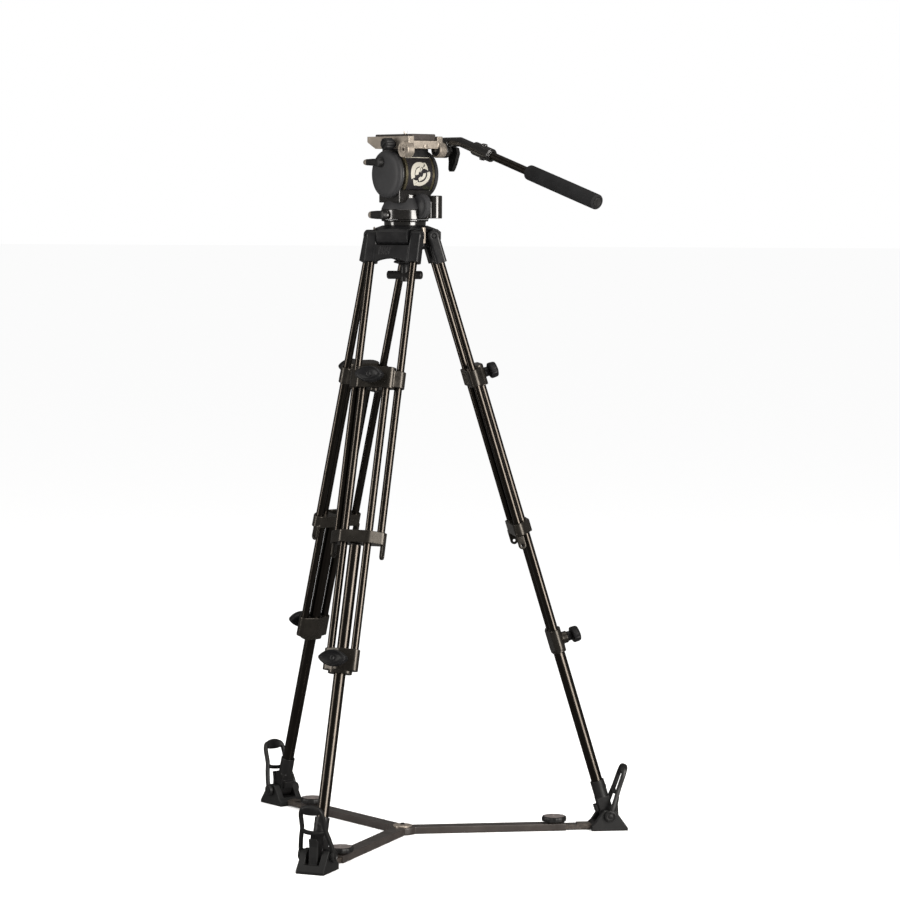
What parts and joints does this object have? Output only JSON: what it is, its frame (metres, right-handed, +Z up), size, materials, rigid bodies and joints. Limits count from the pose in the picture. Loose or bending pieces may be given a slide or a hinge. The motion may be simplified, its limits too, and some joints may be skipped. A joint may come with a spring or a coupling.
{
  "type": "camera tripod with fluid head",
  "caption": "Twin-tube camera tripod with floor spreader, bowl-mounted fluid head, sliding camera plate and one pan handle.",
  "frame": {"origin": "on the vertical axis of the tripod, at the floor", "axes": "+Z up, -Y where the lens points, -X the operator's right with the pan handle, +X the operator's left"},
  "size_m": [0.7412, 0.8817, 1.2721],
  "materials": {
    "black_anodised": "glossy black anodised tube",
    "dark_casting": "satin charcoal paint",
    "clamp_plastic": "satin glass-filled plastic",
    "knob_black": "moulded black plastic",
    "cover_grey": "satin dark grey plastic",
    "champagne": "bead-blasted champagne anodised",
    "rubber_black": "moulded rubber",
    "foam_black": "foam sleeve",
    "steel": "zinc-plated steel",
    "bronze_arm": "dark bronze anodised flat bar"
  },
  "bodies": {
    "spreader": {"spreader_hub": "bronze_arm"},
    "arm_1": {"arm_bar_1": "bronze_arm", "foot_boot_1": "rubber_black"},
    "latch_1": {"boot_latch_1": "clamp_plastic"},
    "arm_knob_1": {"arm_lock_knob_1": "cover_grey"},
    "arm_2": {"arm_bar_2": "bronze_arm", "foot_boot_2": "rubber_black"},
    "latch_2": {"boot_latch_2": "clamp_plastic"},
    "arm_knob_2": {"arm_lock_knob_2": "cover_grey"},
    "arm_3": {"arm_bar_3": "bronze_arm", "foot_boot_3": "rubber_black"},
    "latch_3": {"boot_latch_3": "clamp_plastic"},
    "arm_knob_3": {"arm_lock_knob_3": "cover_grey"},
    "crown": {"crown": "dark_casting"},
    "upper_leg_1": {"leg_yoke_1": "dark_casting", "upper_tubes_1": "black_anodised", "upper_bracket_1": "clamp_plastic"},
    "middle_leg_1": {"middle_clamp_1": "clamp_plastic", "middle_tubes_1": "black_anodised", "lower_clamp_1": "clamp_plastic"},
    "lower_leg_1": {"lower_tube_1": "black_anodised", "ankle_1": "clamp_plastic"},
    "middle_knob_1": {"middle_lock_knob_1": "knob_black"},
    "lower_knob_1": {"lower_lock_knob_1": "knob_black"},
    "upper_leg_2": {"leg_yoke_2": "dark_casting", "upper_tubes_2": "black_anodised", "upper_bracket_2": "clamp_plastic"},
    "middle_leg_2": {"middle_clamp_2": "clamp_plastic", "middle_tubes_2": "black_anodised", "lower_clamp_2": "clamp_plastic"},
    "lower_leg_2": {"lower_tube_2": "black_anodised", "ankle_2": "clamp_plastic"},
    "middle_knob_2": {"middle_lock_knob_2": "knob_black"},
    "lower_knob_2": {"lower_lock_knob_2": "knob_black"},
    "upper_leg_3": {"leg_yoke_3": "dark_casting", "upper_tubes_3": "black_anodised", "upper_bracket_3": "clamp_plastic"},
    "middle_leg_3": {"middle_clamp_3": "clamp_plastic", "middle_tubes_3": "black_anodised", "lower_clamp_3": "clamp_plastic"},
    "lower_leg_3": {"lower_tube_3": "black_anodised", "ankle_3": "clamp_plastic"},
    "middle_knob_3": {"middle_lock_knob_3": "knob_black"},
    "lower_knob_3": {"lower_lock_knob_3": "knob_black"},
    "ball": {"levelling_ball": "black_anodised"},
    "bowl_handle": {"bowl_clamp_handle": "knob_black"},
    "pan": {"pan_housing": "dark_casting", "side_covers": "cover_grey"},
    "drag_dial_body": {"drag_dial": "knob_black"},
    "pan_lever": {"pan_lock_lever": "knob_black"},
    "tilt_lever": {"tilt_lock_lever": "knob_black"},
    "tilt": {"tilt_drum": "dark_casting", "top_platform": "champagne"},
    "plate": {"sliding_plate": "black_anodised", "camera_screw": "steel"},
    "plate_knob": {"plate_lock_knob": "knob_black"},
    "handle": {"handle_arm": "knob_black"},
    "handle_inner": {"handle_tube": "black_anodised", "handle_grip": "foam_black"},
    "clamp_lever": {"handle_clamp_lever": "knob_black"}
  },
  "joints": [
    {"name": "leg_fold_1", "type": "hinge", "parent": "crown", "child": "upper_leg_1", "pos_m": [0, -0.045, 1.08502], "axis": [1, 0, 0], "range_deg": [0, 15.5]},
    {"name": "tripod_lift", "type": "slide", "parent": "spreader", "child": "crown", "axis": [0, 0, 1], "range_m": [0, 0.352]},
    {"name": "arm_slide_1", "type": "slide", "parent": "spreader", "child": "arm_1", "axis": [0, -1, 0], "range_m": [-0.021, 0]},
    {"name": "latch_turn_1", "type": "hinge", "parent": "arm_1", "child": "latch_1", "pos_m": [0, -0.37892, 0.028], "axis": [1, 0, 0], "range_deg": [0, 65]},
    {"name": "arm_knob_turn_1", "type": "hinge", "parent": "spreader", "child": "arm_knob_1", "pos_m": [0, -0.27972, 0.018], "axis": [0, 0, 1], "range_deg": [0, 180]},
    {"name": "middle_slide_1", "type": "slide", "parent": "upper_leg_1", "child": "middle_leg_1", "axis": [0, -0.2909, -0.9568], "range_m": [-0.15, 0]},
    {"name": "lower_slide_1", "type": "slide", "parent": "middle_leg_1", "child": "lower_leg_1", "axis": [0, -0.2909, -0.9568], "range_m": [-0.235, 0]},
    {"name": "middle_knob_turn_1", "type": "hinge", "parent": "middle_leg_1", "child": "middle_knob_1", "pos_m": [0, -0.15184, 0.84084], "axis": [0, -0.9568, 0.2909], "range_deg": [0, 180]},
    {"name": "lower_knob_turn_1", "type": "hinge", "parent": "middle_leg_1", "child": "lower_knob_1", "pos_m": [0, -0.30699, 0.35799], "axis": [0, -0.9568, 0.2909], "range_deg": [0, 180]},
    {"name": "leg_fold_2", "type": "hinge", "parent": "crown", "child": "upper_leg_2", "pos_m": [0.03897, 0.0225, 1.08502], "axis": [-0.5, 0.866, 0], "range_deg": [0, 15.6]},
    {"name": "arm_slide_2", "type": "slide", "parent": "spreader", "child": "arm_2", "axis": [0.866, 0.5, 0], "range_m": [-0.021, 0]},
    {"name": "latch_turn_2", "type": "hinge", "parent": "arm_2", "child": "latch_2", "pos_m": [0.32816, 0.18946, 0.028], "axis": [-0.5, 0.866, 0], "range_deg": [0, 65]},
    {"name": "arm_knob_turn_2", "type": "hinge", "parent": "spreader", "child": "arm_knob_2", "pos_m": [0.24225, 0.13986, 0.018], "axis": [0, 0, 1], "range_deg": [0, 180]},
    {"name": "middle_slide_2", "type": "slide", "parent": "upper_leg_2", "child": "middle_leg_2", "axis": [0.2519, 0.1454, -0.9568], "range_m": [-0.15, 0]},
    {"name": "lower_slide_2", "type": "slide", "parent": "middle_leg_2", "child": "lower_leg_2", "axis": [0.2519, 0.1454, -0.9568], "range_m": [-0.235, 0]},
    {"name": "middle_knob_turn_2", "type": "hinge", "parent": "middle_leg_2", "child": "middle_knob_2", "pos_m": [0.1315, 0.07592, 0.84084], "axis": [0.8286, 0.4784, 0.2909], "range_deg": [0, 180]},
    {"name": "lower_knob_turn_2", "type": "hinge", "parent": "middle_leg_2", "child": "lower_knob_2", "pos_m": [0.26586, 0.15349, 0.35799], "axis": [0.8286, 0.4784, 0.2909], "range_deg": [0, 180]},
    {"name": "leg_fold_3", "type": "hinge", "parent": "crown", "child": "upper_leg_3", "pos_m": [-0.03897, 0.0225, 1.08502], "axis": [-0.5, -0.866, 0], "range_deg": [0, 15.6]},
    {"name": "arm_slide_3", "type": "slide", "parent": "spreader", "child": "arm_3", "axis": [-0.866, 0.5, 0], "range_m": [-0.021, 0]},
    {"name": "latch_turn_3", "type": "hinge", "parent": "arm_3", "child": "latch_3", "pos_m": [-0.32816, 0.18946, 0.028], "axis": [-0.5, -0.866, 0], "range_deg": [0, 65]},
    {"name": "arm_knob_turn_3", "type": "hinge", "parent": "spreader", "child": "arm_knob_3", "pos_m": [-0.24225, 0.13986, 0.018], "axis": [0, 0, 1], "range_deg": [0, 180]},
    {"name": "middle_slide_3", "type": "slide", "parent": "upper_leg_3", "child": "middle_leg_3", "axis": [-0.2519, 0.1454, -0.9568], "range_m": [-0.15, 0]},
    {"name": "lower_slide_3", "type": "slide", "parent": "middle_leg_3", "child": "lower_leg_3", "axis": [-0.2519, 0.1454, -0.9568], "range_m": [-0.235, 0]},
    {"name": "middle_knob_turn_3", "type": "hinge", "parent": "middle_leg_3", "child": "middle_knob_3", "pos_m": [-0.1315, 0.07592, 0.84084], "axis": [-0.8286, 0.4784, 0.2909], "range_deg": [0, 180]},
    {"name": "lower_knob_turn_3", "type": "hinge", "parent": "middle_leg_3", "child": "lower_knob_3", "pos_m": [-0.26586, 0.15349, 0.35799], "axis": [-0.8286, 0.4784, 0.2909], "range_deg": [0, 180]},
    {"name": "bowl_level", "type": "hinge", "parent": "crown", "child": "ball", "pos_m": [0, 0, 1.10802], "axis": [1, 0, 0], "range_deg": [-8, 8]},
    {"name": "bowl_handle_turn", "type": "hinge", "parent": "ball", "child": "bowl_handle", "pos_m": [0, 0, 1.02052], "axis": [0, 0, 1], "range_deg": [0, 270]},
    {"name": "pan_turn", "type": "hinge", "parent": "ball", "child": "pan", "pos_m": [0, 0, 1.11402], "axis": [0, 0, 1], "continuous": true},
    {"name": "drag_dial_turn", "type": "hinge", "parent": "pan", "child": "drag_dial_body", "pos_m": [-0.002, 0.045, 1.13802], "axis": [1, 0, 0], "range_deg": [-135, 135]},
    {"name": "pan_lever_turn", "type": "hinge", "parent": "pan", "child": "pan_lever", "pos_m": [0.049, 0, 1.12202], "axis": [-1, 0, 0], "range_deg": [0, 45]},
    {"name": "tilt_lever_turn", "type": "hinge", "parent": "pan", "child": "tilt_lever", "pos_m": [0.05095, -0.01, 1.21602], "axis": [1, 0, 0], "range_deg": [0, 40]},
    {"name": "head_tilt", "type": "hinge", "parent": "pan", "child": "tilt", "pos_m": [0, 0, 1.19502], "axis": [1, 0, 0], "range_deg": [-45, 60]},
    {"name": "plate_slide", "type": "slide", "parent": "tilt", "child": "plate", "axis": [0, -1, 0], "range_m": [-0.03, 0.03]},
    {"name": "plate_knob_turn", "type": "hinge", "parent": "tilt", "child": "plate_knob", "pos_m": [0.048, 0.017, 1.24802], "axis": [1, 0, 0], "range_deg": [0, 180]},
    {"name": "handle_angle", "type": "hinge", "parent": "tilt", "child": "handle", "pos_m": [-0.048, 0.052, 1.23802], "axis": [1, 0, 0], "range_deg": [0, 45]},
    {"name": "handle_telescope", "type": "slide", "parent": "handle", "child": "handle_inner", "axis": [0, 0.9617, -0.274], "range_m": [-0.055, 0]},
    {"name": "clamp_lever_turn", "type": "hinge", "parent": "handle", "child": "clamp_lever", "pos_m": [-0.058, 0.052, 1.23802], "axis": [-1, 0, 0], "range_deg": [0, 90]}
  ],
  "couplings": [
    {"joint": "tripod_lift", "follows": "leg_fold_1", "m_per_rad": 1.2938},
    {"joint": "arm_slide_1", "follows": "leg_fold_1", "m_per_rad": -0.07393},
    {"joint": "leg_fold_2", "follows": "leg_fold_1", "ratio": 1},
    {"joint": "arm_slide_2", "follows": "leg_fold_1", "m_per_rad": -0.07393},
    {"joint": "leg_fold_3", "follows": "leg_fold_1", "ratio": 1},
    {"joint": "arm_slide_3", "follows": "leg_fold_1", "m_per_rad": -0.07393}
  ]
}
